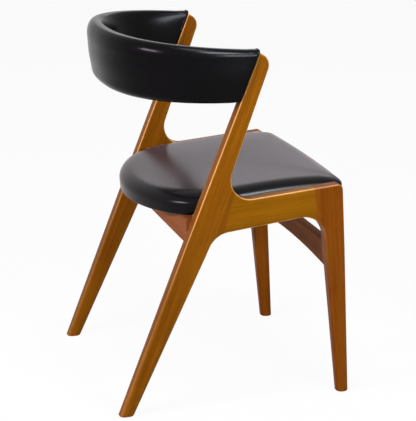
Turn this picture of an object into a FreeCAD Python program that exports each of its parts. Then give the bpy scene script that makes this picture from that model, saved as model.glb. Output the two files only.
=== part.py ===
import FreeCAD, Part
import math
import os

os.makedirs("parts", exist_ok=True)
Vector = FreeCAD.Vector

# A dining chair: two flat side frames joined by two cross rails, a D-shaped padded
# seat, and a padded band round the sitter's back whose ends butt on the posts.
# Millimetres. +Z is up and the sitter faces -Y, so the sitter's left is +X.
# The origin is on the floor, at the middle of the chair's length and width.

# ---- driving sizes ----

# whole chair
overall_width = 516.0
foot_span = 504.5              # front foot's front edge to rear foot's rear edge
frame_thickness = 28.0

# rear leg and post, one piece, leaning to the front as they rise
rear_foot_depth = 31.0
rear_edge_lean = 21.4          # degrees from upright
leg_front_lean = 24.5          # degrees from upright
post_front_lean = 19.4         # degrees from upright
post_height = 743.0            # floor to the post's rear top corner
post_top_depth = 28.5

# front leg, which leans to the rear as it rises
front_foot_depth = 26.0
front_edge_lean = -3.5         # degrees from upright
front_leg_rear_lean = -6.2     # degrees from upright

# side rail, rising to the front
rail_top_height = 462.0        # where its top line meets the front leg's front line
rail_bottom_height = 401.7     # where its bottom line meets the front leg's rear line
rail_top_slope = 5.0           # degrees from level
rail_bottom_slope = 6.5        # degrees from level

# rounding of the side frame
arris = 2.0                    # chamfer along every long edge
foot_chamfer = 1.5
post_top_radius = 24.0
seat_corner_radius = 43.0
leg_top_radius = 16.0
front_crotch_radius = 50.0
rear_crotch_radius = 50.0

# glue joints of the side frame, each with a loose tenon
post_stub = 65.0               # post's rear edge to the joint, at the rail's middle
post_joint_lean = 15.6         # degrees from upright
leg_stub = 61.0                # front leg's front edge to the joint
tenon_thickness = 9.0
frame_tenon_width = 32.0
frame_tenon_length = 40.0

# cross rails, tenoned into the inner faces of the side frames
cross_tenon_length = 18.0
cross_tenon_shoulder = 8.0     # above and below each tenon
front_rail_thickness = 20.0
front_rail_setback = 14.0      # front leg's front edge to the rail's front face
front_rail_bottom = 274.0
front_rail_height = 56.0
front_rail_arch = 13.0         # rise of its underside at mid span
rear_rail_thickness = 22.0
rear_rail_setback = 10.5       # leg's rear edge to the rail's rear face, at its underside
rear_rail_bottom = 352.0

# seat pad
seat_side_gap = 1.5            # pad to the inner face of a side frame
seat_front_overhang = 20.0     # pad's front edge ahead of the front leg's top
seat_depth = 420.0
seat_below_rail = 29.0         # pad's underside below the side rail's top line
seat_height = 46.0
seat_rear_corner_radius = 136.0
seat_rear_radius = 325.0
seat_front_corner_radius = 44.0
seat_front_radius = 2800.0     # the front edge bows a little
seat_least_radius = 1.5        # of that corner, however far inside the pad's edge
seat_roll_width = 26.0         # the top edge rolls over this far in
seat_roll_height = 25.0        # and starts this far below the top
leather = 1.2
seat_board_thickness = 12.0
seat_hem = 24.0                # leather turned in under the board
cloth_gap = 0.3                # hem to dust cloth

# cleats glued to the side rails and to the seat's underside
cleat_width = 18.0
cleat_height = 20.0
cleat_length = 165.0
cleat_setback = 84.0           # pad's front edge to the cleat's front end

# backrest
back_below_post_top = 99.5     # post's rear top corner to the band's bottom
back_height = 106.0            # where the curve starts
back_top_rise = 18.0           # more at the middle of the back
back_lean = 7.2                # degrees from upright, to the rear as it rises
back_reach = 206.0             # post's rear edge to the middle of the band, along the bottom
back_curve_depth = 235.0       # front to rear, the curved part of the band
back_squareness = 2.4          # 2 is an ellipse in plan, more is squarer
back_half_width = 245.0        # to the middle of the band's thickness
back_end_thickness = 29.0
back_middle_thickness = 40.0
back_corner_share = 0.42       # radius of the band's long corners over its thickness
back_spans = 13                # along the curve
shell_thickness = 10.0
shell_cover = 14.0             # padding above and below the shell
block_thickness = 16.0
block_inset = 3.5              # its middle inside the middle of the band's end
block_length = 38.0
block_groove = 14.0            # how far the shell enters each end block
welt_thickness = 5.0
welt_proud = 1.0
back_tenon_width = 50.0
back_tenon_in_post = 18.0
back_tenon_in_block = 18.0

# fits
glue_gap = 0.1                 # round a tenon
end_gap = 0.8                  # past the end of a tenon

# ---- lines of the side frame, in the Y-Z plane ----

room = 2000.0                  # longer than any piece, for trimming solids
sideways = Vector(1, 0, 0)
upward = Vector(0, 0, 1)
inner_face = overall_width / 2 - frame_thickness
middle_plane = overall_width / 2 - frame_thickness / 2


def leaning(y, z, lean):
    """Line through a point, leaning to the front by this many degrees from upright."""
    angle = math.radians(lean)
    return Vector(0, y, z), Vector(0, -math.sin(angle), math.cos(angle))


def meet(first, second):
    """Point where two lines cross."""
    start, along = first
    other, across = second
    gap = other - start
    share = (gap.y * across.z - gap.z * across.y) / (along.y * across.z - along.z * across.y)
    return start + along * share


def at_height(line, z):
    """Point of a line at this height."""
    return meet(line, leaning(0, z, 90))


def square_to(line):
    """Direction square to a line: to the rear of an upright one, up from a level one."""
    return Vector(0, line[1].z, -line[1].y)


def shifted(line, distance):
    """The line moved square to itself."""
    return line[0] + square_to(line) * distance, line[1]


floor_line = leaning(0, 0, 90)
rear_edge = leaning(foot_span / 2, 0, rear_edge_lean)
leg_front_edge = leaning(foot_span / 2 - rear_foot_depth, 0, leg_front_lean)
front_edge = leaning(-foot_span / 2, 0, front_edge_lean)
front_leg_rear_edge = leaning(-foot_span / 2 + front_foot_depth, 0, front_leg_rear_lean)
rail_top_start = at_height(front_edge, rail_top_height)
rail_top = leaning(rail_top_start.y, rail_top_start.z, 90 - rail_top_slope)
rail_bottom_start = at_height(front_leg_rear_edge, rail_bottom_height)
rail_bottom = leaning(rail_bottom_start.y, rail_bottom_start.z, 90 - rail_bottom_slope)
post_top_rear = at_height(rear_edge, post_height)
post_top_front = post_top_rear - square_to(rear_edge) * post_top_depth
post_front_edge = leaning(post_top_front.y, post_top_front.z, post_front_lean)
seat_underside = shifted(rail_top, -seat_below_rail)

joint_height = (rail_top_height + rail_bottom_height) / 2
post_joint_y = at_height(rear_edge, joint_height).y - post_stub
post_joint = leaning(post_joint_y, joint_height, post_joint_lean)
leg_joint_y = at_height(front_edge, joint_height).y + leg_stub
leg_joint = leaning(leg_joint_y, joint_height, front_leg_rear_lean)

# ---- shared shapes ----


def rounded_wire(corners):
    """Closed wire through (point, radius) corners, each rounded by an arc of its radius."""
    arcs = []
    for index, (corner, radius) in enumerate(corners):
        to_last = (corners[index - 1][0] - corner).normalize()
        to_next = (corners[(index + 1) % len(corners)][0] - corner).normalize()
        half_angle = to_last.getAngle(to_next) / 2
        reach = radius / math.tan(half_angle)
        inward = (to_last + to_next).normalize() * (radius / math.sin(half_angle) - radius)
        arcs.append((corner + to_last * reach, corner + inward, corner + to_next * reach))
    edges = []
    for index, (start, middle, end) in enumerate(arcs):
        if corners[index][1] > 0:
            edges.append(Part.Arc(start, middle, end).toShape())
        edges.append(Part.makeLine(end, arcs[(index + 1) % len(arcs)][0]))
    return Part.Wire(edges)


def space_behind(line):
    """Everything to the rear of a line of the Y-Z plane."""
    start, along = line
    space = Part.makeBox(2 * room, room, 2 * room, Vector(-room, 0, -room))
    space.rotate(Vector(), sideways, math.degrees(math.atan2(-along.y, along.z)))
    space.translate(start)
    return space


def block(centre, size, lean=0.0, gap=0.0):
    """Box about a centre, leaning to the front; with a gap it is the hole for that box."""
    size = size + Vector(1, 1, 1) * (2 * gap)
    box = Part.makeBox(size.x, size.y, size.z, size * -0.5)
    box.rotate(Vector(), sideways, lean)
    box.translate(centre)
    return box


def mirrored(shape):
    """The same piece on the other side of the chair."""
    return shape.mirror(Vector(), sideways)


def save(name, shape):
    """Write one piece, or one group of like pieces, to its own file."""
    shape.exportStep("parts/" + name + ".step")


def save_pair(name, left):
    """Write a piece of the left side and its mirror image."""
    save("left_" + name, left)
    save("right_" + name, mirrored(left))


# ---- side frames ----


def side_frame_blank():
    """The left side frame in one piece: a flat outline with its arrises chamfered."""
    outline = rounded_wire([
        (meet(rear_edge, floor_line), 0),
        (post_top_rear, 0),
        (post_top_front, post_top_radius),
        (meet(post_front_edge, rail_top), seat_corner_radius),
        (meet(rail_top, front_edge), leg_top_radius),
        (meet(front_edge, floor_line), 0),
        (meet(front_leg_rear_edge, floor_line), 0),
        (meet(front_leg_rear_edge, rail_bottom), front_crotch_radius),
        (meet(rail_bottom, leg_front_edge), rear_crotch_radius),
        (meet(leg_front_edge, floor_line), 0),
    ])
    blank = Part.Face(outline).extrude(sideways * frame_thickness)
    blank.translate(sideways * inner_face)
    arrises = [edge for edge in blank.Edges if not across_frame(edge) and not on_floor(edge)]
    blank = blank.makeChamfer(arris, arrises)
    return blank.makeChamfer(foot_chamfer, [edge for edge in blank.Edges if on_floor(edge)])


def across_frame(edge):
    """True for an edge that runs through the frame's thickness."""
    return edge.BoundBox.XLength > frame_thickness / 2


def on_floor(edge):
    """True for an edge of the sole of a foot."""
    return edge.BoundBox.ZMax < glue_gap


def joint_middle(joint):
    """Middle of a glue joint of the left side frame."""
    return (meet(joint, rail_top) + meet(joint, rail_bottom)) / 2 + sideways * middle_plane


def frame_tenon(joint, lean, gap=0.0):
    """Loose tenon across a glue joint of the left side frame, or the mortises for it."""
    length = frame_tenon_length + (2 * end_gap if gap else 0)
    return block(joint_middle(joint), Vector(tenon_thickness, length, frame_tenon_width), lean, gap)


# ---- cross rails ----

front_rail_y = at_height(front_edge, front_rail_bottom).y + front_rail_setback + front_rail_thickness / 2
rear_rail_y = at_height(rear_edge, rear_rail_bottom).y - rear_rail_setback - rear_rail_thickness / 2
front_rail_top = front_rail_bottom + front_rail_height
rear_rail_front = rear_rail_y - rear_rail_thickness / 2
rear_rail_rear = rear_rail_y + rear_rail_thickness / 2
rear_rail_top = meet(seat_underside, leaning(rear_rail_rear, 0, 0)).z


def cross_tenon(rail_y, bottom, top, gap=0.0):
    """Tenon on the left end of a cross rail, or the mortise for it in the side frame."""
    reach = cross_tenon_length + (end_gap if gap else 0)
    centre = Vector(inner_face + reach / 2, rail_y, (bottom + top) / 2)
    return block(centre, Vector(reach, tenon_thickness, top - bottom - 2 * cross_tenon_shoulder), 0, gap)


def with_tenons(rail, left_tenon):
    """A cross rail with its long arrises chamfered and a tenon on each end."""
    arrises = [edge for edge in rail.Edges if edge.BoundBox.XLength > inner_face]
    rail = rail.makeChamfer(arris, arrises)
    return rail.fuse([left_tenon, mirrored(left_tenon)])


def front_cross_rail():
    """Low front rail: level on top, its underside a shallow arch."""
    rear = front_rail_y + front_rail_thickness / 2
    crown = Vector(0, rear, front_rail_bottom + front_rail_arch)
    left_foot = Vector(inner_face, rear, front_rail_bottom)
    left_top = Vector(inner_face, rear, front_rail_top)
    right_top = Vector(-inner_face, rear, front_rail_top)
    right_foot = Vector(-inner_face, rear, front_rail_bottom)
    underside = Part.Arc(right_foot, crown, left_foot).toShape()
    upper = Part.makePolygon([left_foot, left_top, right_top, right_foot])
    face = Part.Face(Part.Wire([underside] + upper.Edges))
    rail = face.extrude(Vector(0, -front_rail_thickness, 0))
    return with_tenons(rail, cross_tenon(front_rail_y, front_rail_bottom, front_rail_top))


def rear_cross_rail():
    """Rear rail under the seat: its top follows the slope of the seat."""
    front_top = meet(seat_underside, leaning(rear_rail_front, 0, 0)).z
    section = Part.Face(Part.makePolygon([
        Vector(-inner_face, rear_rail_front, rear_rail_bottom),
        Vector(-inner_face, rear_rail_front, front_top),
        Vector(-inner_face, rear_rail_rear, rear_rail_top),
        Vector(-inner_face, rear_rail_rear, rear_rail_bottom),
        Vector(-inner_face, rear_rail_front, rear_rail_bottom),
    ]))
    rail = section.extrude(sideways * (2 * inner_face))
    return with_tenons(rail, cross_tenon(rear_rail_y, rear_rail_bottom, rear_rail_top))


# ---- seat, built level with its front edge at Y=0 and its underside at Z=0 ----

seat_half_width = inner_face - seat_side_gap
board_top = leather + seat_board_thickness


def in_chair(shape):
    """A piece of the level seat, tilted to the slope of the side rails and put in the chair."""
    placed = shape.copy()
    placed.rotate(Vector(), sideways, -rail_top_slope)
    placed.translate(seat_underside[0] + seat_underside[1] * seat_front_overhang)
    return placed


def seat_outline(inset, height=0.0):
    """D-shaped wire: straight sides, rounded corners, a wide rear arc and a slightly bowed front."""
    rear_centre = Vector(0, seat_depth - seat_rear_radius, height)
    corner_x = seat_half_width - seat_rear_corner_radius
    between_centres = seat_rear_radius - seat_rear_corner_radius
    corner_y = rear_centre.y + math.sqrt(between_centres ** 2 - corner_x ** 2)
    corner_centre = Vector(corner_x, corner_y, height)
    to_corner = (corner_centre - rear_centre).normalize()
    halfway = (to_corner + sideways).normalize()
    corner_radius = seat_rear_corner_radius - inset
    side_end = corner_centre + sideways * corner_radius
    corner_end = corner_centre + to_corner * corner_radius
    bow_centre = Vector(0, seat_front_radius, height)
    front_radius = max(seat_front_corner_radius - inset, seat_least_radius)
    front_x = seat_half_width - inset - front_radius
    from_bow_centre = seat_front_radius - inset - front_radius
    front_y = seat_front_radius - math.sqrt(from_bow_centre ** 2 - front_x ** 2)
    front_centre = Vector(front_x, front_y, height)
    to_front = (front_centre - bow_centre).normalize()
    front_end = front_centre + to_front * front_radius
    front_halfway = (to_front + sideways).normalize()
    side_start = front_centre + sideways * front_radius
    left = [
        Part.Arc(front_end, front_centre + front_halfway * front_radius, side_start).toShape(),
        Part.makeLine(side_start, side_end),
        Part.Arc(side_end, corner_centre + halfway * corner_radius, corner_end).toShape(),
    ]
    rear_middle = Vector(0, seat_depth - inset, height)
    rear = Part.Arc(corner_end, rear_middle, Vector(-corner_end.x, corner_end.y, height)).toShape()
    front_start = Vector(-front_end.x, front_end.y, height)
    front = Part.Arc(front_start, Vector(0, inset, height), front_end).toShape()
    right = [mirrored(edge) for edge in reversed(left)]
    return Part.Wire(left + [rear] + right + [front])


def seat_pad(inset):
    """The whole pad inside this thickness of leather: upright sides that roll over at the top."""
    roll_start = seat_height - seat_roll_height
    levels = [(0, 0), (0, roll_start)]
    for turn in (math.pi / 6, math.pi / 3, math.pi / 2):
        roll_in = seat_roll_width * (1 - math.cos(turn))
        levels.append((roll_in, roll_start + seat_roll_height * math.sin(turn)))
    rings = []
    for roll_in, height in levels:
        rings.append(seat_outline(inset + roll_in, min(max(height, inset), seat_height - inset)))
    return Part.makeLoft(rings, True, True)


def seat_sheet(inset):
    """D-shaped sheet as thick as the leather, on the seat's underside."""
    return Part.Face(seat_outline(inset)).extrude(upward * leather)


def seat_layer(bottom, top):
    """Level slab of space between two heights of the seat."""
    return Part.makeBox(2 * room, 2 * room, top - bottom, Vector(-room, -room, bottom))


def cleat():
    """Batten under the left edge of the seat, against the side rail."""
    corner = Vector(inner_face - cleat_width, cleat_setback, -cleat_height)
    return Part.makeBox(cleat_width, cleat_length, cleat_height, corner)


# ---- backrest: a band round the sitter's back, its ends on the posts' rear edges ----

back_bottom = post_height - back_below_post_top
post_face = shifted(rear_edge, welt_thickness)
block_end = shifted(post_face, block_length)
shell_end = shifted(block_end, -block_groove)
block_centre = back_half_width - block_inset
back_rising = leaning(0, 0, -back_lean)[1]
back_curve_start = at_height(rear_edge, back_bottom).y + back_reach - back_curve_depth


def band_section(turn, thickness, cover, corner_radius):
    """Rounded rectangle across the band, its top and bottom this far under the padding.

    In plan the band follows half of a squared ellipse, from the left (turn 0) round to
    the right (turn pi).
    """
    power = 2 / back_squareness
    across = math.copysign(abs(math.cos(turn)) ** power, math.cos(turn))
    back = abs(math.sin(turn)) ** power
    outward = Vector(
        math.copysign(abs(across) ** (back_squareness - 1), across) / back_half_width,
        back ** (back_squareness - 1) / back_curve_depth,
        0,
    )
    outward = (outward - back_rising * outward.dot(back_rising)).normalize()
    bottom = Vector(back_half_width * across, back_curve_start + back_curve_depth * back, back_bottom)
    height = back_height + back_top_rise * back
    low = bottom + back_rising * (cover / back_rising.z)
    high = bottom + back_rising * ((height - cover) / back_rising.z)
    half = outward * (thickness / 2)
    return rounded_wire([(p, corner_radius) for p in (low - half, low + half, high + half, high - half)])


def band_end(side, line, thickness, cover, corner_radius):
    """An end of the band, left 1 or right -1: a rounded rectangle on a plane beside the post."""
    outward = sideways * side
    low = at_height(line, back_bottom + cover) + outward * back_half_width
    high = at_height(line, back_bottom + back_height - cover) + outward * back_half_width
    half = outward * (thickness / 2)
    return rounded_wire([(p, corner_radius) for p in (low - half, low + half, high + half, high - half)])


def band_sections(first, end_thickness, middle_thickness, cover, corner_share):
    """Sections evenly round the curve, from this one of the left side to its match on the right."""
    sections = []
    for index in range(first, back_spans + 1 - first):
        turn = math.pi * index / back_spans
        thickness = end_thickness + (middle_thickness - end_thickness) * math.sin(turn)
        sections.append(band_section(turn, thickness, cover, thickness * corner_share))
    return sections


def back_tenon(gap=0.0):
    """Loose tenon from the left post through the welt into the end block, or its mortises."""
    in_post = back_tenon_in_post + (end_gap if gap else 0)
    in_block = back_tenon_in_block + (end_gap if gap else 0)
    length = in_post + welt_thickness + in_block
    on_post = at_height(rear_edge, back_bottom + back_height / 2)
    centre = on_post + square_to(rear_edge) * (length / 2 - in_post) + sideways * block_centre
    return block(centre, Vector(tenon_thickness, length, back_tenon_width), rear_edge_lean, gap)


def end_block():
    """Wood block at the left end of the shell: level above and below, its ends square to the post."""
    height = back_height - 2 * shell_cover
    corner = Vector(block_centre - block_thickness / 2, -room, back_bottom + shell_cover)
    upright = Part.makeBox(block_thickness, 2 * room, height, corner)
    return upright.common(space_behind(post_face)).cut(space_behind(block_end))


def welt():
    """Leather plate between the left post and the padding, a little proud of the padding."""
    thickness = back_end_thickness + 2 * welt_proud
    outline = band_end(1, rear_edge, thickness, -welt_proud, thickness * back_corner_share)
    return Part.Face(outline).extrude(square_to(rear_edge) * welt_thickness)


def shell():
    """Thin stiff band inside the padding, trimmed square to the posts inside the end blocks."""
    sections = band_sections(0, shell_thickness, shell_thickness, shell_cover, 0)
    return Part.makeLoft(sections, True, True).common(space_behind(shell_end))


def padding(inset):
    """The band inside this thickness of skin, swelling from the welts towards its middle."""
    end_thickness = back_end_thickness - 2 * inset
    end_radius = end_thickness * back_corner_share
    left_end = band_end(1, post_face, end_thickness, inset, end_radius)
    right_end = band_end(-1, post_face, end_thickness, inset, end_radius)
    between = band_sections(1, end_thickness, back_middle_thickness - 2 * inset, inset, back_corner_share)
    return Part.makeLoft([left_end] + between + [right_end], True, True)


# ---- the pieces, each cut for what passes through it ----

# side frames: one outline each, sawn at the glue joints
mortises = [
    frame_tenon(post_joint, post_joint_lean, glue_gap),
    frame_tenon(leg_joint, front_leg_rear_lean, glue_gap),
    cross_tenon(front_rail_y, front_rail_bottom, front_rail_top, glue_gap),
    cross_tenon(rear_rail_y, rear_rail_bottom, rear_rail_top, glue_gap),
    back_tenon(glue_gap),
]
blank = side_frame_blank().cut(mortises)
below_post = seat_layer(0, rail_top_height)
side_rail = blank.common(below_post).common(space_behind(leg_joint)).cut(space_behind(post_joint))
front_leg = blank.cut(space_behind(leg_joint))
save_pair("rear_post", blank.cut(front_leg).cut(side_rail))
save_pair("side_rail", side_rail)
save_pair("front_leg", front_leg)
save_pair("post_joint_tenon", frame_tenon(post_joint, post_joint_lean))
save_pair("leg_joint_tenon", frame_tenon(leg_joint, front_leg_rear_lean))

# cross rails
save("front_cross_rail", front_cross_rail())
save("rear_cross_rail", rear_cross_rail())

# seat
inside_pad = seat_pad(leather)
save("seat_board", in_chair(inside_pad.common(seat_layer(leather, board_top))))
save("seat_foam", in_chair(inside_pad.common(seat_layer(board_top, seat_height))))
save("seat_cover", in_chair(seat_pad(0).cut([inside_pad, seat_sheet(seat_hem)])))
save("seat_dust_cloth", in_chair(seat_sheet(seat_hem + cloth_gap)))
save_pair("seat_cleat", in_chair(cleat()))

# backrest
back_padding = padding(leather)
back_shell = shell()
left_block = end_block()
save("back_cover", padding(0).cut(back_padding))
save("back_foam", back_padding.cut([back_shell, left_block, mirrored(left_block)]))
save("back_shell", back_shell)
save_pair("back_block", left_block.cut([back_shell, back_tenon(glue_gap)]))
save_pair("back_welt", welt().cut(back_tenon(glue_gap)))
save_pair("back_tenon", back_tenon())
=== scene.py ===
import math

import bmesh
import bpy
from mathutils import Matrix, Vector


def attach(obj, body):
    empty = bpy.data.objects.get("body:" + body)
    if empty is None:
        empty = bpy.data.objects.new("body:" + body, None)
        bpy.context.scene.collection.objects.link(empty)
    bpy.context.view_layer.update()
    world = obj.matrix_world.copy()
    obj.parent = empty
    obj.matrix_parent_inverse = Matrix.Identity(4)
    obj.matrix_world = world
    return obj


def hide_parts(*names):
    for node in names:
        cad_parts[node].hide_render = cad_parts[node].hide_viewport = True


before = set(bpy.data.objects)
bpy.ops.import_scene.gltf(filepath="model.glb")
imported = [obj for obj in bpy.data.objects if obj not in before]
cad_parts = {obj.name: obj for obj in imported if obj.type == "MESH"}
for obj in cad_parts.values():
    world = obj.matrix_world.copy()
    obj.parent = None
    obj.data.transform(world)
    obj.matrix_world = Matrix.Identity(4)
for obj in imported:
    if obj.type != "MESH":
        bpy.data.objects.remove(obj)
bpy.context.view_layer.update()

# ---- side frames ----
# Each is glued up from three flat boards of solid wood: the rear leg and post in one,
# the rail, and the front leg. They are sawn to one flowing outline and all arrises are
# rounded, small at the rail and fuller down the legs, so the feet are nearly round.

MM = 0.001                     # sizes are in millimetres
frame_thickness = 28.0
frame_middle = 244.0           # from the chair's middle to a side frame's
foot_reach = 252.25            # from the origin to the outer ends of the feet
lean_post = 21.4               # of the post's rear edge, to the front as it rises
lean_front_leg = 4.8           # of the front leg's middle, to the rear as it rises
slope_rail = 5.0               # of the rail's top, down to the rear

# corners of the outline, up the rear and round to the front: y, z, rounding
frame_corners = [
    (foot_reach, 0.0, 0.0),
    (-38.9, 743.0, 2.5),
    (-65.5, 732.6, 25.0),
    (37.9, 439.1, 43.0),
    (-224.0, 462.0, 12.0),
    (-foot_reach, 0.0, 0.0),
    (-226.25, 0.0, 0.0),
    (-182.6, 401.7, 50.0),
    (50.3, 375.2, 50.0),
    (221.25, 0.0, 0.0),
]
outline_steps = 12             # in each rounded corner
# the two edges of each leg: which corners are its foot and its top
rear_leg_edges = ((0, 1), (9, 8))
front_leg_edges = ((5, 4), (6, 7))

arris = 3.2
arris_at_foot = 11.5
arris_widens_below = 330.0     # height at which the legs' arrises start to widen
rung_spacing = 15.0            # between the cuts that let the legs' arrises widen
sole_arris = 2.2
smooth_below = 35.0            # degrees between faces that are shaded as one surface

# glue joints: a point on each, y, z, and its lean to the front
post_joint = (18.0, 431.85, 15.6)
leg_joint = (-164.8, 431.85, -6.2)


def pick(piece):
    """Select this piece alone and make it the active one."""
    bpy.ops.object.select_all(action="DESELECT")
    piece.select_set(True)
    bpy.context.view_layer.objects.active = piece


def apply_modifier(piece, kind, **settings):
    """Add one modifier with these settings and apply it."""
    pick(piece)
    modifier = piece.modifiers.new(kind.lower(), kind)
    for name, value in settings.items():
        setattr(modifier, name, value)
    bpy.ops.object.modifier_apply(modifier=modifier.name)


def settle(piece):
    """Smooth shading with flat faces kept flat, and the place put into the mesh."""
    pick(piece)
    bpy.ops.object.transform_apply(location=True, rotation=True, scale=True)
    bpy.ops.object.shade_smooth_by_angle(angle=math.radians(smooth_below))
    apply_modifier(piece, "WEIGHTED_NORMAL", keep_sharp=True, weight=100)


def select_edges(mesh, wanted):
    """In edit mode, select just the edges that a test picks."""
    bpy.ops.mesh.select_mode(type="EDGE")
    bpy.ops.mesh.select_all(action="DESELECT")
    build = bmesh.from_edit_mesh(mesh)
    for edge in build.edges:
        edge.select = wanted(edge)
    build.select_flush_mode()
    bmesh.update_edit_mesh(mesh)


def round_edges(piece, wanted, **settings):
    """Bevel the edges that a test picks by their two points and the normals of their faces."""
    weights = piece.data.attributes.new("bevel_weight_edge", "FLOAT", "EDGE")
    points = piece.data.vertices
    normals = {}
    for polygon in piece.data.polygons:
        for key in polygon.edge_keys:
            normals.setdefault(key, []).append(polygon.normal.copy())
    for edge in piece.data.edges:
        ends = [points[index] for index in edge.vertices]
        weights.data[edge.index].value = float(wanted(ends, *normals[edge.key]))
    apply_modifier(piece, "BEVEL", limit_method="WEIGHT", **settings)


def rounded_outline(corners, steps):
    """Points round (y, z, rounding) corners, each rounded one a true arc of so many steps."""
    places = [Vector((0, y, z)) for y, z, _ in corners]
    points = []
    for index, (_, _, rounding) in enumerate(corners):
        corner = places[index]
        if rounding == 0:
            points.append(corner)
            continue
        to_last = (places[index - 1] - corner).normalized()
        to_next = (places[(index + 1) % len(places)] - corner).normalized()
        half_angle = to_last.angle(to_next) / 2
        centre = corner + (to_last + to_next).normalized() * (rounding / math.sin(half_angle))
        reach = rounding / math.tan(half_angle)
        first = (corner + to_last * reach - centre).normalized()
        last = (corner + to_next * reach - centre).normalized()
        points += [centre + first.slerp(last, step / steps) * rounding for step in range(steps + 1)]
    return points


def frame_blank():
    """The outline of a side frame, cut in a board on the chair's middle plane."""
    outline = rounded_outline(frame_corners, outline_steps)
    bpy.ops.object.select_all(action="DESELECT")
    bpy.ops.mesh.primitive_circle_add(vertices=len(outline), fill_type="NGON")
    blank = bpy.context.object
    for vertex, point in zip(blank.data.vertices, outline):
        vertex.co = point * MM
    bpy.ops.object.mode_set(mode="EDIT")
    for rung in range(1, int(arris_widens_below / rung_spacing) + 1):
        bpy.ops.mesh.select_all(action="SELECT")
        height = Vector((0, 0, rung * rung_spacing * MM))
        bpy.ops.mesh.bisect(plane_co=height, plane_no=(0, 0, 1))
    bpy.ops.mesh.select_all(action="SELECT")
    bpy.ops.mesh.extrude_region_move(TRANSFORM_OT_translate={"value": (frame_thickness * MM, 0, 0)})
    bpy.ops.mesh.select_all(action="SELECT")
    bpy.ops.mesh.normals_make_consistent(inside=False)
    bpy.ops.transform.translate(value=(-frame_thickness / 2 * MM, 0, 0))
    bpy.ops.object.mode_set(mode="OBJECT")
    return blank


def leg_middle(height, edges):
    """Where a leg's middle is at this height, and half its depth there."""
    sides = []
    for foot, top in edges:
        y, z, _ = frame_corners[foot]
        top_y, top_z, _ = frame_corners[top]
        sides.append(y + (top_y - y) * (height - z) / (top_z - z))
    return (sides[0] + sides[1]) / 2, abs(sides[0] - sides[1]) / 2


def on_floor(points):
    """True where all these points lie on the floor."""
    return max(point.co.z for point in points) < 0.001 * MM


def on_rim(ends, first, second):
    """True for an edge between a flat side of the frame and its outline, but not at a sole."""
    return (abs(first.x) > 0.9) != (abs(second.x) > 0.9) and not on_floor(ends)


def round_arrises(blank):
    """Round the rim alike all round, draw the legs' arrises out wider downwards, ease the soles."""
    round_edges(blank, on_rim, width=arris * MM, segments=6, use_clamp_overlap=False)
    for vertex in blank.data.vertices:
        x, y, z = vertex.co / MM
        if z > arris_widens_below:
            continue
        middle, half_depth = leg_middle(z, front_leg_edges if y < 0 else rear_leg_edges)
        stretch = 1 + (arris_at_foot / arris - 1) * (1 - z / arris_widens_below)
        from_face = min(abs(frame_thickness / 2 - abs(x)), arris) * stretch
        from_edge = min(abs(half_depth - abs(y - middle)), arris) * stretch
        vertex.co.x = math.copysign(frame_thickness / 2 - from_face, x) * MM
        vertex.co.y = (middle + math.copysign(half_depth - from_edge, y - middle)) * MM
    bpy.ops.object.mode_set(mode="EDIT")
    select_edges(blank.data, lambda edge: on_floor(edge.verts))
    bpy.ops.mesh.bevel(offset=sole_arris * MM, segments=3)
    bpy.ops.object.mode_set(mode="OBJECT")


class Shade:
    """A value that varies over a surface, from a material's nodes, on which arithmetic works."""

    def __init__(self, tree, socket=None):
        self.tree = tree
        self.socket = socket

    def node(self, kind, settings, inputs, output=0):
        """Add a node: its settings first, then a value or a Shade for each input."""
        made = self.tree.nodes.new("ShaderNode" + kind)
        for name, value in settings.items():
            setattr(made, name, value)
        for name, value in inputs.items():
            if isinstance(value, Shade):
                self.tree.links.new(value.socket, made.inputs[name])
            else:
                made.inputs[name].default_value = value
        return Shade(self.tree, made.outputs[output])

    def maths(self, operation, first, second):
        """Add a Math node on two values or Shades."""
        return self.node("Math", {"operation": operation}, {0: first, 1: second})

    def __add__(self, other):
        return self.maths("ADD", self, other)

    def __sub__(self, other):
        return self.maths("SUBTRACT", self, other)

    def __rsub__(self, other):
        return self.maths("SUBTRACT", other, self)

    def __mul__(self, other):
        return self.maths("MULTIPLY", self, other)

    def __gt__(self, other):
        return self.maths("GREATER_THAN", self, other)

    __radd__ = __add__
    __rmul__ = __mul__

    def tint(self, first, second):
        """Colour between two, by this value; a Mix node's colours are its inputs 6 and 7."""
        return self.node("Mix", {"data_type": "RGBA"}, {0: self, 6: first, 7: second}, 2)

    def noise(self, place, scale, detail=2.0, roughness=0.5):
        """Soft random values from 0 to 1."""
        inputs = {"Vector": place, "Scale": scale, "Detail": detail, "Roughness": roughness}
        return self.node("TexNoise", {}, inputs)

    def between(self, value, low, high):
        """From 0 where a value is this low to 1 where it is this high."""
        return self.node("MapRange", {}, {"Value": value, "From Min": low, "From Max": high})


def new_finish(name, constants):
    """A material whose surface has these constant values; returns it, its surface and a start."""
    finish = bpy.data.materials.new(name)
    finish.use_nodes = True
    surface = finish.node_tree.nodes["Principled BSDF"]
    for socket, value in constants.items():
        surface.inputs[socket].default_value = value
    return finish, surface, Shade(finish.node_tree)


def connect(surface, **links):
    """Link Shades to the surface's sockets, named with _ for a space."""
    for name, shade in links.items():
        shade.tree.links.new(shade.socket, surface.inputs[name.replace("_", " ")])


def toned(colour, share=1.0):
    """A colour for a node, this share as bright."""
    return (*(share * part for part in colour), 1)


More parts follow.
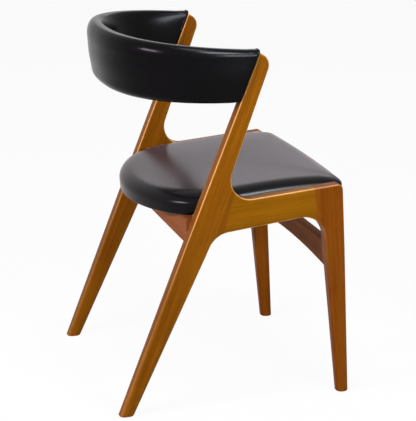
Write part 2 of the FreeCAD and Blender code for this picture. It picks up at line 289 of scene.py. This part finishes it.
def wood(name, dark, light, lean, seed, crosswise=0, polish=0.18, arris_highlight=3.2):
    """Oiled wood with painted shade and highlights: grain leaning so many degrees forward, or
    crosswise.
    """
    finish, surface, start = new_finish(name, {"Specular IOR Level": 0.025})
    place = start.node("TexCoord", {}, {}, "Object")
    turn = (math.radians(-lean), math.radians(90 * crosswise), 0)
    along = start.node("Mapping", {}, {"Vector": place, "Rotation": turn, "Location": (seed, 0, 0)})

    # three sizes of streak along the grain, each drawn out by its smaller last number
    fibre = start.node("Mapping", {}, {"Vector": along, "Scale": (420, 420, 7)})
    pore = start.node("Mapping", {}, {"Vector": along, "Scale": (1300, 1300, 45)})
    figure = start.node("Mapping", {}, {"Vector": along, "Scale": (48, 48, 1.6)})
    fibres = start.noise(fibre, scale=1.0, detail=3.0, roughness=0.6)
    pores = (start.noise(pore, scale=1.0, detail=1.0) > 0.66) * 0.35
    figures = start.noise(figure, scale=1.0, detail=3.0, roughness=0.55)
    mottle = start.noise(along, scale=7.0)
    tone = start.between(figures * 0.9 + fibres * 1.1 + mottle * 0.4 - 0.7, 0.15, 0.85)
    colour = tone.tint(toned(dark), toned(light))
    colour = pores.tint(colour, toned(dark, 0.35))

    # painted shade: the narrow faces are darker, and so is the wood towards the floor
    facing = start.node("NewGeometry", {}, {}, "Normal")
    sideways = start.node("SeparateXYZ", {}, {"Vector": facing}, "X")
    sideways = sideways.maths("ABSOLUTE", sideways, 0)
    narrow_face_shade = (1 - sideways) * 0.3
    colour = narrow_face_shade.tint(colour, toned(dark, 0.55))
    # painted shade: the wood darkens towards the floor, where less light reaches it
    level = start.node("SeparateXYZ", {}, {"Vector": place}, "Z")
    floor_shade = (1 - start.between(level, 0.05, 0.50)) * 0.3
    colour = floor_shade.tint(colour, toned(dark, 0.6))

    # painted highlight: the arrises are lighter, most of all those facing up and those above the legs
    upward = start.node("SeparateXYZ", {}, {"Vector": facing}, "Z")
    upward = upward.maths("MAXIMUM", upward, 0)
    highlight_weight = start.between(level, 0.24, 0.44) * arris_highlight + upward * 2.5
    painted_highlight = sideways * (1 - sideways) * highlight_weight
    colour = painted_highlight.tint(colour, (0.72, 0.37, 0.10, 1))

    roughness = fibres * 0.12 + polish
    height = fibres * 0.5 - pores
    bump = start.node("Bump", {}, {"Strength": 0.2, "Distance": 0.0003, "Height": height})
    connect(surface, Base_Color=colour, Roughness=roughness, Normal=bump)
    return finish


post_wood = wood("post_wood", (0.145, 0.044, 0.0010), (0.275, 0.096, 0.0025), lean_post, seed=7.4)
rail_wood = wood("rail_wood", (0.165, 0.061, 0.0010), (0.30, 0.117, 0.002), 90 - slope_rail, seed=3.0)
# the front legs' upper arrises get less of the painted highlight
leg_wood = wood(
    "leg_wood", (0.145, 0.036, 0.0012), (0.27, 0.080, 0.004), -lean_front_leg, seed=2.0, arris_highlight=1.0,
)


def cut_at(joint, keep_rear):
    """Saw the board being edited along a glue joint."""
    y, z, lean = joint
    angle = math.radians(lean)
    bpy.ops.mesh.select_all(action="SELECT")
    bpy.ops.mesh.bisect(
        plane_co=Vector((0, y, z)) * MM,
        plane_no=(0, math.cos(angle), math.sin(angle)),
        use_fill=True,
        clear_inner=keep_rear,
        clear_outer=not keep_rear,
    )


def board(blank, name, cuts, finish):
    """One board of the left and of the right side frame, sawn from the blank."""
    for side, x in (("left_", frame_middle), ("right_", -frame_middle)):
        pick(blank)
        bpy.ops.object.duplicate()
        piece = bpy.context.object
        piece.name = side + name + "_wood"
        bpy.ops.object.mode_set(mode="EDIT")
        for joint, keep_rear in cuts:
            cut_at(joint, keep_rear)
        bpy.ops.mesh.select_all(action="SELECT")
        bpy.ops.transform.translate(value=(x * MM, 0, 0))
        bpy.ops.mesh.normals_make_consistent(inside=False)
        bpy.ops.object.mode_set(mode="OBJECT")
        settle(piece)
        piece.data.materials.append(finish)
        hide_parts(side + name)
        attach(piece, "root")


blank = frame_blank()
round_arrises(blank)
board(blank, "rear_post", [(post_joint, True)], post_wood)
board(blank, "side_rail", [(post_joint, False), (leg_joint, True)], rail_wood)
board(blank, "front_leg", [(leg_joint, False)], leg_wood)
bpy.data.objects.remove(blank)

# ---- cross rails ----
# Two straight rails tie the side frames together, tenoned into their inner faces.
# The front one is low and its underside is a shallow arch; the rear one is under the seat.

inner_face = frame_middle - frame_thickness / 2
cross_arris = 2.6
arch_steps = 32
cross_wood = wood(
    "cross_wood", (0.17, 0.050, 0.012), (0.34, 0.120, 0.035), 0.0, seed=4.0,
    crosswise=1, polish=0.5,
)


def along_rail(ends, first, second):
    """True for a sharp edge that runs along a cross rail, not round its end."""
    is_sharp = first.angle(second) > math.radians(60)
    return is_sharp and abs(first.x) < 0.9 and abs(second.x) < 0.9


def cross_rail(name, faces, bottom, tops, arch):
    """A rail from side to side: its front and rear y, its foot, its top at each, its arch's rise."""
    bpy.ops.object.select_all(action="DESELECT")
    bpy.ops.mesh.primitive_grid_add(x_subdivisions=arch_steps, y_subdivisions=1, size=2)
    rail = bpy.context.object
    rail.name = name + "_wood"
    bpy.ops.object.mode_set(mode="EDIT")
    bpy.ops.mesh.select_all(action="SELECT")
    bpy.ops.mesh.extrude_region_move(TRANSFORM_OT_translate={"value": (0, 0, 1)})
    bpy.ops.object.mode_set(mode="OBJECT")
    for vertex in rail.data.vertices:
        across, up, back = vertex.co
        is_rear = back > 0.5
        z = tops[is_rear] if up > 0 else bottom + arch * (1 - across * across)
        vertex.co = Vector((across * inner_face, faces[is_rear], z)) * MM
    bpy.ops.object.mode_set(mode="EDIT")
    bpy.ops.mesh.select_all(action="SELECT")
    bpy.ops.mesh.normals_make_consistent(inside=False)
    bpy.ops.object.mode_set(mode="OBJECT")
    round_edges(rail, along_rail, width=cross_arris * MM, segments=4)
    settle(rail)
    rail.data.materials.append(cross_wood)
    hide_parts(name)
    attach(rail, "root")


cross_rail("front_cross_rail", faces=(-221.5, -201.5), bottom=274.0, tops=(330.0, 330.0), arch=13.0)
cross_rail("rear_cross_rail", faces=(81.8, 103.8), bottom=352.0, tops=(406.1, 404.2), arch=0.0)

# ---- seat ----
# A plywood board, foam and a black leather cover pulled tight over it and turned in
# under the board. D-shaped: gently bowed in front, straight at the sides, round behind.

seat_origin = Vector((0, -246.44, 434.85))
seat_tilt = -5.0               # degrees, down to the rear
seat_half_width = 228.5
seat_depth = 420.0
rear_radius = 325.0
rear_corner = 136.0            # radius of the turn from the rear into the sides
front_radius = 3600.0
front_corner = 17.0
corner_growth = 0.3            # how fast the front corners widen inwards, to keep their roll smooth
seat_middle = Vector((0, 215, 0))  # under the top of its crown

hem = 24.0                     # turned in under the board
hem_thickness = 1.4
bottom_rounding = 3.0
wall_top = 17.0                # height at which the upright edge starts to roll over
shoulder_width = 42.0
shoulder_rise = 24.0
shoulder_power = 2.3           # 2 is an ellipse, more is squarer
crown = 8.7                    # from the edge to the middle
front_drop = 12.5              # the front falls away under the thighs
front_share = 0.5              # and its roll is this share as wide

bow_steps = 20
front_corner_steps = 8
side_steps = 20
rear_corner_steps = 20
rear_steps = 15
bottom_steps = 4
shoulder_steps = 14
top_steps = 24


def leather(name, shine, bloom, polish):
    """Smooth black hide: strength of its shine, of its bloom at a raking look, roughness."""
    constants = {"Specular IOR Level": shine, "Sheen Weight": bloom, "Sheen Roughness": 0.35}
    constants["Sheen Tint"] = (1, 0.72, 0.86, 1)
    finish, surface, start = new_finish(name, constants)
    place = start.node("TexCoord", {}, {}, "Object")
    pebbles = {"Vector": place, "Scale": 625.0}
    pebble = start.node("TexVoronoi", {"feature": "SMOOTH_F1"}, pebbles)
    wrinkle = start.noise(place, scale=160.0, detail=4.0, roughness=0.6)
    cloud = start.noise(place, scale=9.0, detail=3.0)
    colour = cloud.tint((0.0012, 0.0011, 0.0014, 1), (0.0032, 0.0027, 0.0030, 1))
    roughness = cloud * 0.08 + wrinkle * 0.06 + polish
    height = pebble * 0.6 + wrinkle * 0.5
    bump = start.node("Bump", {}, {"Strength": 0.12, "Distance": 0.0004, "Height": height})
    connect(surface, Base_Color=colour, Roughness=roughness, Normal=bump)
    return finish


def arc(x, y, radius, first, last, steps):
    """Points of an arc about (x, y), by its angle from the front round to the side."""
    angles = [first + (last - first) * step / steps for step in range(steps + 1)]
    return [(x + radius * math.sin(angle), y - radius * math.cos(angle)) for angle in angles]


def seat_edge(inset, height):
    """The seat's D outline this far in from its edge, from the middle of the front round."""
    side_x = seat_half_width - inset
    corner = front_corner + corner_growth * inset
    front_x = side_x - corner
    bow = math.asin(front_x / (front_radius - inset - corner))
    front_y = front_radius - (front_radius - inset - corner) * math.cos(bow)
    rear_x = seat_half_width - rear_corner
    rear_centre = seat_depth - rear_radius
    rear_y = rear_centre + math.sqrt((rear_radius - rear_corner) ** 2 - rear_x ** 2)
    turned = math.pi - math.atan2(rear_x, rear_y - rear_centre)
    half = arc(0, front_radius, front_radius - inset, 0, bow, bow_steps)[:-1]
    half += arc(front_x, front_y, corner, bow, math.pi / 2, front_corner_steps)
    along_side = [front_y + (rear_y - front_y) * step / side_steps for step in range(1, side_steps)]
    half += [(side_x, y) for y in along_side]
    half += arc(rear_x, rear_y, rear_corner - inset, math.pi / 2, turned, rear_corner_steps)
    half += arc(0, rear_centre, rear_radius - inset, turned, math.pi, rear_steps)[1:]
    other = [(-x, y) for x, y in reversed(half[1:-1])]
    return [Vector((x, y, height)) for x, y in half + other]


def closed_skin(name, rings, first_pole, last_pole):
    """A closed mesh through rings of points, with a point in the middle at each end."""
    count = len(rings[0])
    points = [first_pole] + [point for ring in rings for point in ring] + [last_pole]
    last = len(points) - 1
    faces = []
    for step in range(count):
        after = (step + 1) % count
        faces.append((0, 1 + after, 1 + step))
        faces.append((last, last - count + step, last - count + after))
        for ring in range(len(rings) - 1):
            low = 1 + ring * count
            faces.append((low + step, low + after, low + count + after, low + count + step))
    mesh = bpy.data.meshes.new(name)
    mesh.from_pydata([point * MM for point in points], [], faces)
    piece = bpy.data.objects.new(name, mesh)
    bpy.context.scene.collection.objects.link(piece)
    return piece


def ahead(y):
    """How far forward a point of the seat is: 1 at its front, 0 behind its middle."""
    return max(0, 1 - y / seat_middle.y)


def crowned(out):
    """How much of the crown a point has: all in the middle, where out is 0, none at the edge."""
    return crown * (1 - out * out)


def shoulder_ring(inset, rise):
    """A ring of the edge that rolls over into the top: tighter and lower in front."""
    ring = seat_edge(inset, wall_top + shoulder_rise * rise)
    for point in ring:
        point.y += (front_share - 1) * inset * ahead(point.y) ** 2
        point.z += crowned(1 - inset / seat_middle.y)
        point.z -= front_drop * ahead(point.y) ** 3 * rise
    return ring


rings = [seat_edge(hem, hem_thickness), seat_edge(hem, 0.0), seat_edge(2 * bottom_rounding, 0.0)]
for step in range(bottom_steps + 1):
    angle = math.pi / 2 * step / bottom_steps
    rings.append(seat_edge(
        bottom_rounding * (1 - math.sin(angle)),
        bottom_rounding * (1 - math.cos(angle)),
    ))
rings.append(seat_edge(0, wall_top / 2))
for step in range(shoulder_steps + 1):
    across = 1 - math.cos(math.pi / 2 * step / shoulder_steps)
    rise = (1 - (1 - across) ** shoulder_power) ** (1 / shoulder_power)
    rings.append(shoulder_ring(shoulder_width * across, rise))
shoulder = rings[-1]
top_height = wall_top + shoulder_rise
for step in range(1, top_steps):
    share = 1 - step / top_steps
    ring = [seat_middle + (point - seat_middle) * share for point in shoulder]
    for point in ring:
        out = share * (1 - shoulder_width / seat_middle.y)
        point.z = top_height + crowned(out) - front_drop * ahead(point.y) ** 3
    rings.append(ring)

seat_leather = leather("seat_leather", shine=0.10, bloom=0.14, polish=0.17)
bottom_pole = seat_middle + Vector((0, 0, hem_thickness))
top_pole = seat_middle + Vector((0, 0, top_height + crown))
seat = closed_skin("seat_pad", rings, bottom_pole, top_pole)
tilt = Matrix.Rotation(math.radians(seat_tilt), 4, "X")
seat.data.transform(Matrix.Translation(seat_origin * MM) @ tilt)
settle(seat)
seat.data.materials.append(seat_leather)
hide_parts("seat_cover", "seat_foam")
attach(seat, "root")

# ---- backrest ----
# A curved shell in foam and black leather, one band from post to post round the sitter's
# back. It is thin at the posts and fuller behind, leans back a little, rises in the middle
# and is cut at its ends to the slope of the posts.

band_bottom = 643.5
band_top = 749.5
band_middle = (band_bottom + band_top) / 2
band_rise = 18.0               # of its top, from the ends to the middle
band_lean = 7.2                # degrees, to the rear as it rises
band_half_width = 245.0
band_depth = 235.0
band_squareness = 2.4          # of its curve from above; 2 is an ellipse
band_start = -28.9             # y from which it curves
thickness_at_ends = 29.0
thickness_behind = 40.0
upper_rounding = 13.0          # at the ends; rounder where the band is fuller
lower_rounding = 8.5
outer_bulge = 1.4
inner_bulge = 5.0              # behind; the inner face flattens toward the ends
inner_squareness = 2.6
flat_ends = 14.0               # how soon the inner face is full, away from the ends
overruns = (40, 30, 20, 10)    # past the ends, for the cut along the posts
welt_thickness = 5.0
pinch = 0.06                   # the band is drawn in at the welts
pinch_length = 14.0
pinch_upright = 0.2            # share of that in its height
pinch_cuts = (14, 11, 8, 5, 2.5)  # from the welt, so that the band can bend inwards there

face_steps = 16
rounding_steps = 8
inner_steps = 32
band_steps = 96


def band_section(half_width, half_height, thin):
    """Points (out, up) round the band; thin is 1 at its ends and soon 0, where it is fuller."""
    fuller = (2 * half_width / thickness_at_ends) ** 3
    top = half_height - upper_rounding * fuller
    low = half_height - lower_rounding * fuller
    points = []
    for step in range(1, face_steps):
        share = 2 * step / face_steps - 1
        out = half_width + outer_bulge * (1 - share * share) ** 2
        points.append((out, (top - low) / 2 + share * (top + low) / 2))
    for step in range(rounding_steps + 1):
        angle = math.pi / 2 * step / rounding_steps
        points.append((half_width * math.cos(angle), top + upper_rounding * fuller * math.sin(angle)))
    for step in range(1, inner_steps):
        angle = math.pi / 2 - math.pi * step / inner_steps
        power = 2 / (inner_squareness + 2 * thin)
        up = math.copysign(abs(math.sin(angle)) ** power, math.sin(angle))
        deep = half_width + inner_bulge * (1 - thin)
        points.append((-deep * math.cos(angle) ** power, half_height * up))
    for step in range(rounding_steps + 1):
        angle = math.pi / 2 * (step / rounding_steps - 1)
        points.append((half_width * math.cos(angle), lower_rounding * fuller * math.sin(angle) - low))
    return points


def band_ring(turn, overrun=0):
    """One cross-section of the band: 0 is the left end and pi the right."""
    power = 2 / band_squareness
    across = math.copysign(abs(math.cos(turn)) ** power, math.cos(turn))
    back = abs(math.sin(turn)) ** power
    thickness = thickness_at_ends + (thickness_behind - thickness_at_ends) * math.sin(turn)
    rising = Vector((0, math.sin(math.radians(band_lean)), math.cos(math.radians(band_lean))))
    outward = Vector((
        math.copysign(abs(across) ** (band_squareness - 1), across) / band_half_width,
        back ** (band_squareness - 1) / band_depth,
        0,
    ))
    outward = (outward - rising * outward.dot(rising)).normalized()
    back -= overrun / band_depth
    foot = Vector((band_half_width * across, band_start + band_depth * back, band_bottom))
    length = (band_top + band_rise * max(0, back) - band_bottom) / rising.z
    middle = foot + rising * (length / 2)
    section = band_section(thickness / 2, length / 2, math.exp(-flat_ends * math.sin(turn)))
    return [middle + outward * out + rising * up for out, up in section]


rings = [band_ring(0, overrun) for overrun in overruns]
rings += [band_ring(math.pi * step / band_steps) for step in range(band_steps + 1)]
rings += [band_ring(math.pi, overrun) for overrun in reversed(overruns)]
first_pole, last_pole = [sum(ring, Vector()) / len(ring) for ring in (rings[0], rings[-1])]
band = closed_skin("backrest_band", rings, first_pole, last_pole)

# cut it where the welts meet it, parallel to the posts' rear edges
rear_lean = math.radians(lean_post)
to_rear = Vector((0, math.cos(rear_lean), math.sin(rear_lean)))
band_face = Vector((0, foot_reach, 0)) + to_rear * welt_thickness
pick(band)
bpy.ops.object.mode_set(mode="EDIT")
bpy.ops.mesh.select_all(action="SELECT")
bpy.ops.mesh.normals_make_consistent(inside=False)
for depth in pinch_cuts:
    bpy.ops.mesh.select_all(action="SELECT")
    bpy.ops.mesh.bisect(plane_co=(band_face + to_rear * depth) * MM, plane_no=to_rear)
bpy.ops.mesh.select_all(action="SELECT")
bpy.ops.mesh.bisect(plane_co=band_face * MM, plane_no=to_rear, use_fill=True, clear_inner=True)
bpy.ops.mesh.select_all(action="SELECT")
bpy.ops.mesh.normals_make_consistent(inside=False)
bpy.ops.object.mode_set(mode="OBJECT")
for vertex in band.data.vertices:
    from_welt = (vertex.co / MM - band_face).dot(to_rear)
    if from_welt < pinch_length:
        drawn_in = pinch * (1 - from_welt / pinch_length) ** 2
        x = math.copysign(band_half_width, vertex.co.x) * MM
        z = band_middle * MM
        vertex.co.x = x + (vertex.co.x - x) * (1 - drawn_in)
        vertex.co.z = z + (vertex.co.z - z) * (1 - drawn_in * pinch_upright)

back_leather = leather("back_leather", shine=0.06, bloom=0.0, polish=0.15)
settle(band)
band.data.materials.append(back_leather)
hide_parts("back_cover", "back_foam")
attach(band, "root")

# ---- welts ----
# The leather-covered plate that closes each end of the band and lies on the post's rear
# edge. Its rim stands a little proud of the band, as piping does.

welt_half_width = 14.2
welt_half_height = 56.4
welt_corner = 10.0
welt_arris = 2.3


def through_welt(edge):
    """True for an edge that runs through the plate's thickness."""
    return abs(edge.verts[0].co.y - edge.verts[1].co.y) > 1 * MM


def on_welt_rim(edge):
    """True for an edge between one of the plate's two broad faces and its side."""
    return sum(abs(face.normal.y) > 0.9 for face in edge.link_faces) == 1


for side, name in ((1, "left"), (-1, "right")):
    half_size = Vector((welt_half_width, welt_thickness / 2, welt_half_height)) * MM
    bpy.ops.object.select_all(action="DESELECT")
    bpy.ops.mesh.primitive_cube_add(size=2, scale=half_size)
    welt = bpy.context.object
    welt.name = name + "_welt_leather"
    bpy.ops.object.transform_apply(scale=True)
    bpy.ops.object.mode_set(mode="EDIT")
    select_edges(welt.data, through_welt)
    bpy.ops.mesh.bevel(offset=welt_corner * MM, segments=8, profile=0.5)
    select_edges(welt.data, on_welt_rim)
    bpy.ops.mesh.bevel(offset=welt_arris * MM, segments=4, profile=0.5)
    bpy.ops.object.mode_set(mode="OBJECT")
    edge_of_post = Vector((0, foot_reach - band_middle * math.tan(rear_lean), band_middle))
    middle = edge_of_post + to_rear * (welt_thickness / 2)
    middle.x = side * band_half_width
    turn = Matrix.Rotation(rear_lean, 4, "X")
    welt.data.transform(Matrix.Translation(middle * MM) @ turn)
    settle(welt)
    welt.data.materials.append(back_leather)
    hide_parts(name + "_back_welt")
    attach(welt, "root")

# ---- inside and underneath ----
# What the leather and the joints hide: tenons, cleats, end blocks, board and shell, of
# plain pale wood. A thin woven cloth under the board closes the seat from below.

inner_wood = wood("inner_wood", (0.30, 0.17, 0.07), (0.52, 0.34, 0.16), 0.0, seed=5.0)
threads = 180.0                # a metre, each way


def dust_cloth():
    """Plain black weave."""
    finish, surface, start = new_finish("dust_cloth", {"Roughness": 0.9})
    place = start.node("TexCoord", {}, {}, "Object")
    warp = start.node("TexWave", {"bands_direction": "X"}, {"Vector": place, "Scale": threads})
    weft = start.node("TexWave", {"bands_direction": "Y"}, {"Vector": place, "Scale": threads})
    weave = warp * weft
    colour = weave.tint((0.008, 0.008, 0.009, 1), (0.035, 0.034, 0.036, 1))
    bump = start.node("Bump", {}, {"Strength": 0.5, "Distance": 0.0003, "Height": weave})
    connect(surface, Base_Color=colour, Normal=bump)
    return finish


def finish_node(name, finish):
    """Give a piece of the frame this finish all over."""
    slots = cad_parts[name].data.materials
    slots.clear()
    slots.append(finish)


finish_node("seat_dust_cloth", dust_cloth())
finish_node("seat_board", inner_wood)
finish_node("back_shell", inner_wood)
for side in ("left_", "right_"):
    for name in ("post_joint_tenon", "leg_joint_tenon", "back_tenon", "back_block", "seat_cleat"):
        finish_node(side + name, inner_wood)

# ---- studio ----
# A plain pale floor that keeps the chair's shadow, in a white room. The floor and the room
# are white only where they are seen, straight or in a gloss, and give little light.

floor_size = 14
floor_grey = 0.9
floor_glow = 0.93              # how much of what is seen of the floor is plain white
room_light = 0.3


def seen(start):
    """1 where a ray comes from the eye, straight, by a reflection or through glass."""
    from_eye, by_gloss, by_glass = [
        start.node("LightPath", {}, {}, "Is " + ray + " Ray")
        for ray in ("Camera", "Glossy", "Transmission")
    ]
    return (from_eye + by_gloss + by_glass) > 0.5


bpy.ops.object.select_all(action="DESELECT")
bpy.ops.mesh.primitive_plane_add(size=floor_size)
floor = bpy.context.object
floor.name = "floor"
floor_finish, floor_surface, start = new_finish("floor", {"Specular IOR Level": 0.0, "Roughness": 0.9})
floor_surface.inputs["Base Color"].default_value = toned((floor_grey, floor_grey, floor_grey))
glow = start.node("Emission", {}, {"Color": (1, 1, 1, 1), "Strength": 1.0})
lit = Shade(start.tree, floor_surface.outputs["BSDF"])
mixed = start.node("MixShader", {}, {0: seen(start) * floor_glow, 1: lit, 2: glow})
output = floor_finish.node_tree.nodes["Material Output"]
start.tree.links.new(mixed.socket, output.inputs["Surface"])
floor.data.materials.append(floor_finish)

world = bpy.data.worlds.new("studio")
bpy.context.scene.world = world
world.use_nodes = True
room = world.node_tree.nodes["Background"]
room.inputs["Color"].default_value = (1, 1, 1, 1)
strength = seen(Shade(world.node_tree)) * (1 - room_light) + room_light
strength.tree.links.new(strength.socket, room.inputs["Strength"])

# ---- lamps ----
# Soft boxes round the chair: one overhead, one behind it for the long highlight on the
# band, and one on each side. Two more light nothing and show only as shine, plain on
# the leather and faint on the wood.


def softbox(name, place, target, size, power, colour, only_in_shine=False):
    """A rectangular lamp at this place, aimed at the target."""
    bpy.ops.object.select_all(action="DESELECT")
    bpy.ops.object.light_add(type="AREA", location=place)
    lamp = bpy.context.object
    lamp.name = name
    lamp.data.shape = "RECTANGLE"
    lamp.data.size, lamp.data.size_y = size
    lamp.data.energy = power
    lamp.data.color = colour
    aim = Vector(target) - Vector(place)
    lamp.rotation_mode = "QUATERNION"
    lamp.rotation_quaternion = aim.to_track_quat("-Z", "Y")
    lamp.visible_diffuse = not only_in_shine


seat_height = (0, 0, 0.5)
band_end = (-0.25, -0.05, 0.72)
softbox("overhead", (-0.5, 0.15, 2.6), (0, 0.1, 0.7), (0.6, 0.6), 17, (1.0, 0.96, 1.0))
softbox(
    "near_window", (-1.5, -0.28, 2.5), band_end, (1.0, 0.8), 150, (0.8, 0.88, 1.0),
    only_in_shine=True,
)
softbox("rear_lamp", (-0.8, 2.5, 1.62), (0, 0, 0.6), (0.9, 0.22), 62, (0.98, 0.8, 1.0))
softbox("far_window", (2.4, -0.75, 1.95), (0, 0, 0.45), (1.8, 0.8), 10, (1.0, 0.9, 0.95))
softbox("camera_side", (-2.2, -0.8, 1.35), seat_height, (0.9, 0.5), 30, (0.94, 0.97, 1.0))
softbox(
    "side_sheen", (-2.2, -0.8, 1.35), seat_height, (1.2, 0.7), 150, (0.8, 0.88, 1.0),
    only_in_shine=True,
)

# ---- camera ----
# Stands behind the chair, to the sitter's right, a little above the backrest,
# and looks slightly down, as a customer would walking round it.

camera_place = Vector((-3.1949, 0.9947, 1.3326))
camera_yaw = -0.3060
camera_dip = 0.2854
camera_roll = -0.0061
focal_length = 136.82

bpy.ops.object.select_all(action="DESELECT")
bpy.ops.object.camera_add(location=camera_place)
camera = bpy.context.object
camera.name = "camera"
camera.data.lens = focal_length
looking = Vector((
    math.cos(camera_dip) * math.cos(camera_yaw),
    math.cos(camera_dip) * math.sin(camera_yaw),
    -math.sin(camera_dip),
))
camera.rotation_mode = "QUATERNION"
camera.rotation_quaternion = looking.to_track_quat("-Z", "Y")
camera.rotation_quaternion.rotate(Matrix.Rotation(camera_roll, 3, looking))
bpy.context.scene.camera = camera
bpy.context.scene.view_settings.view_transform = "Standard"
